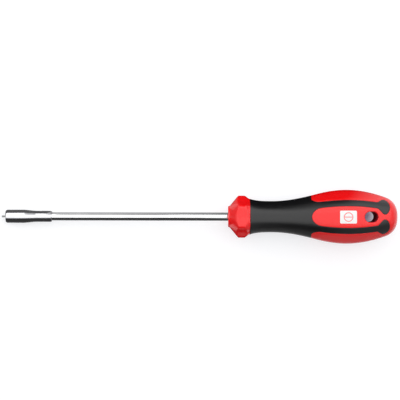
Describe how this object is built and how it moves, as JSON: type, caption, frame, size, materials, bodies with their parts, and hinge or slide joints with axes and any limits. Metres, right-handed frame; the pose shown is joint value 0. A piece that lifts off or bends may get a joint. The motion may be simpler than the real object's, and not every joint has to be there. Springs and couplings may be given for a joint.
{
  "type": "screw holding screwdriver",
  "caption": "Slotted screwdriver with a sprung holding sleeve near the tip, a split wedge blade, a round shank and a red and black two-shot handle with a hang hole.",
  "frame": {"origin": "middle of the blade tip's end, on the shank's axis, which is the working point of the tool", "axes": "+X along the shank from the tip to the handle's butt, +Y across the blade's thickness on the wedge's side, +Z along the hang hole out of the panel that faces up when the tool lies flat"},
  "size_m": [0.262, 0.0358, 0.0342],
  "materials": {
    "polished_chrome": "polished",
    "dark_nickel": "polished dark nickel",
    "spring_steel": "drawn wire",
    "red_plastic": "satin gloss",
    "black_soft_plastic": "matte"
  },
  "bodies": {
    "driver": {"shank": "polished_chrome", "handle_core": "red_plastic", "soft_grip": "black_soft_plastic", "stop_ring": "spring_steel", "thrust_washer": "spring_steel", "return_spring": "spring_steel"},
    "holder": {"holding_sleeve": "dark_nickel", "nose_ring": "dark_nickel", "wedge_blade": "polished_chrome", "drive_pin": "spring_steel"}
  },
  "joints": [
    {"name": "sleeve_slide", "type": "slide", "parent": "driver", "child": "holder", "axis": [1, 0, 0], "range_m": [0, 0.005], "stiffness_N_per_m": 400, "springref_m": -0.006, "deforming": ["return_spring"]}
  ]
}
